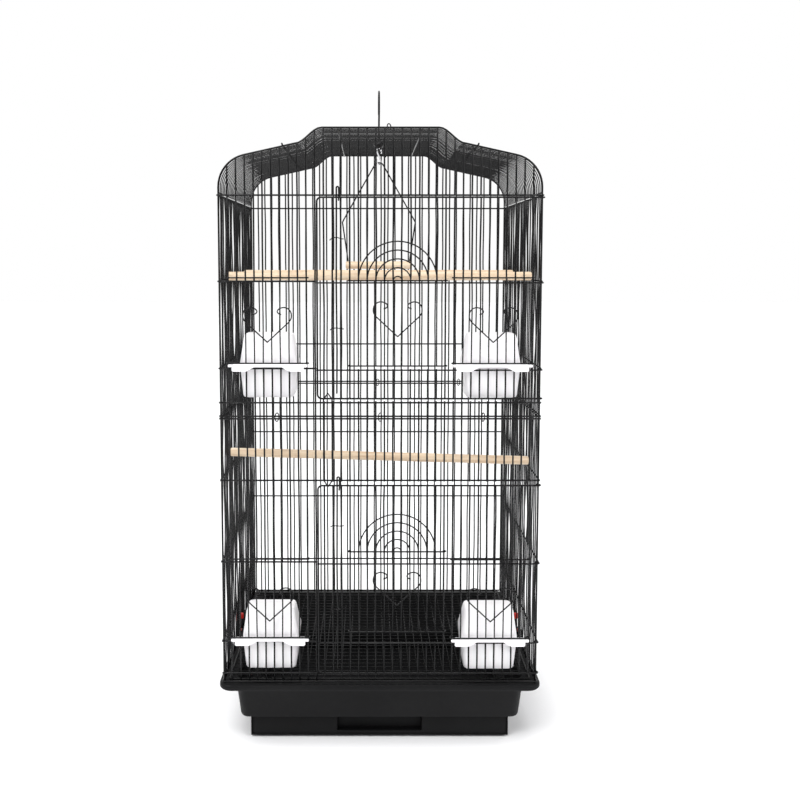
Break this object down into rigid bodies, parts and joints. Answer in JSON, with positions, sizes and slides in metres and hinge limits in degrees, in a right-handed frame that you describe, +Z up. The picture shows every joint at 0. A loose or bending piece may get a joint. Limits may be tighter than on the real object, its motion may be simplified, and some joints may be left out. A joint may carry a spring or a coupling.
{
  "type": "bird cage",
  "caption": "Tabletop flight cage for small birds: black wire with a scalloped roof, hinged doors, sliding gates, feeder cups, perches, a swing and a plastic base with a slide-out tray.",
  "frame": {"origin": "middle of the underside of the base, on the surface that the cage stands on", "axes": "+X to the right as seen from the front, +Y to the back, +Z up"},
  "size_m": [0.46, 0.36, 0.9609],
  "materials": {
    "black_wire": "semi-gloss black coating",
    "base_plastic": "fine matte grain",
    "cup_plastic": "smooth",
    "perch_wood": "bare turned wood",
    "bright_chrome": "bright",
    "latch_plastic": "smooth"
  },
  "bodies": {
    "cage": {"base_pan": "base_plastic", "floor_grate": "black_wire", "lower_front_panel": "black_wire", "upper_front_panel": "black_wire", "lower_back_panel": "black_wire", "upper_back_panel": "black_wire", "lower_left_panel": "black_wire", "lower_right_panel": "black_wire", "upper_left_panel": "black_wire", "upper_right_panel": "black_wire", "roof_panel": "black_wire", "door_stop": "black_wire", "upper_left_cup": "cup_plastic", "lower_left_cup": "cup_plastic", "front_perch": "perch_wood", "back_perch": "perch_wood", "lower_perch": "perch_wood", "front_left_seam_clip": "black_wire", "front_middle_seam_clip": "black_wire", "front_right_seam_clip": "black_wire", "back_left_seam_clip": "black_wire", "back_middle_seam_clip": "black_wire", "back_right_seam_clip": "black_wire", "front_roof_clip": "black_wire", "back_roof_clip": "black_wire"},
    "upper_door": {"upper_door": "black_wire", "upper_right_cup": "cup_plastic"},
    "lower_door": {"lower_door": "black_wire", "lower_right_cup": "cup_plastic"},
    "upper_arch_door": {"upper_arch_door": "black_wire"},
    "lower_arch_door": {"lower_arch_door": "black_wire"},
    "upper_left_gate": {"upper_left_gate": "black_wire"},
    "lower_left_gate": {"lower_left_gate": "black_wire"},
    "upper_right_gate": {"upper_right_gate": "black_wire"},
    "lower_right_gate": {"lower_right_gate": "black_wire"},
    "upper_door_bolt": {"upper_door_bolt": "black_wire"},
    "lower_door_bolt": {"lower_door_bolt": "black_wire"},
    "tray": {"slide_out_tray": "base_plastic"},
    "top_hook": {"top_hook": "black_wire", "s_hook": "bright_chrome"},
    "swing": {"swing_frame": "black_wire", "swing_perch": "perch_wood"},
    "left_base_latch": {"left_base_latch": "latch_plastic"},
    "right_base_latch": {"right_base_latch": "latch_plastic"}
  },
  "joints": [
    {"name": "upper_door_swing", "type": "hinge", "parent": "cage", "child": "upper_door", "pos_m": [0.222, -0.17, 0.647], "axis": [0, 0, 1], "range_deg": [0, 110]},
    {"name": "lower_door_swing", "type": "hinge", "parent": "cage", "child": "lower_door", "pos_m": [0.222, -0.17, 0.249], "axis": [0, 0, 1], "range_deg": [0, 110]},
    {"name": "upper_arch_door_lift", "type": "slide", "parent": "upper_door", "child": "upper_arch_door", "axis": [0, 0, 1], "range_m": [0, 0.08]},
    {"name": "lower_arch_door_lift", "type": "slide", "parent": "lower_door", "child": "lower_arch_door", "axis": [0, 0, 1], "range_m": [0, 0.08]},
    {"name": "upper_left_gate_lift", "type": "slide", "parent": "cage", "child": "upper_left_gate", "axis": [0, 0, 1], "range_m": [0, 0.09]},
    {"name": "lower_left_gate_lift", "type": "slide", "parent": "cage", "child": "lower_left_gate", "axis": [0, 0, 1], "range_m": [0, 0.09]},
    {"name": "upper_right_gate_lift", "type": "slide", "parent": "upper_door", "child": "upper_right_gate", "axis": [0, 0, 1], "range_m": [0, 0.09]},
    {"name": "lower_right_gate_lift", "type": "slide", "parent": "lower_door", "child": "lower_right_gate", "axis": [0, 0, 1], "range_m": [0, 0.09]},
    {"name": "upper_bolt_lift", "type": "slide", "parent": "upper_door", "child": "upper_door_bolt", "axis": [0, 0, 1], "range_m": [0, 0.012]},
    {"name": "lower_bolt_lift", "type": "slide", "parent": "lower_door", "child": "lower_door_bolt", "axis": [0, 0, 1], "range_m": [0, 0.012]},
    {"name": "tray_pull", "type": "slide", "parent": "cage", "child": "tray", "axis": [0, -1, 0], "range_m": [0, 0.24]},
    {"name": "hook_swivel", "type": "hinge", "parent": "cage", "child": "top_hook", "pos_m": [0, 0, 0.878], "axis": [0, 0, 1], "continuous": true},
    {"name": "swing_sway", "type": "hinge", "parent": "top_hook", "child": "swing", "pos_m": [0, 0, 0.8507], "axis": [1, 0, 0], "range_deg": [-30, 30]},
    {"name": "left_latch_turn", "type": "hinge", "parent": "cage", "child": "left_base_latch", "pos_m": [-0.228, -0.0059, 0.1036], "axis": [0, -1, 0], "range_deg": [0, 80]},
    {"name": "right_latch_turn", "type": "hinge", "parent": "cage", "child": "right_base_latch", "pos_m": [0.228, -0.0059, 0.1036], "axis": [0, 1, 0], "range_deg": [0, 80]}
  ]
}
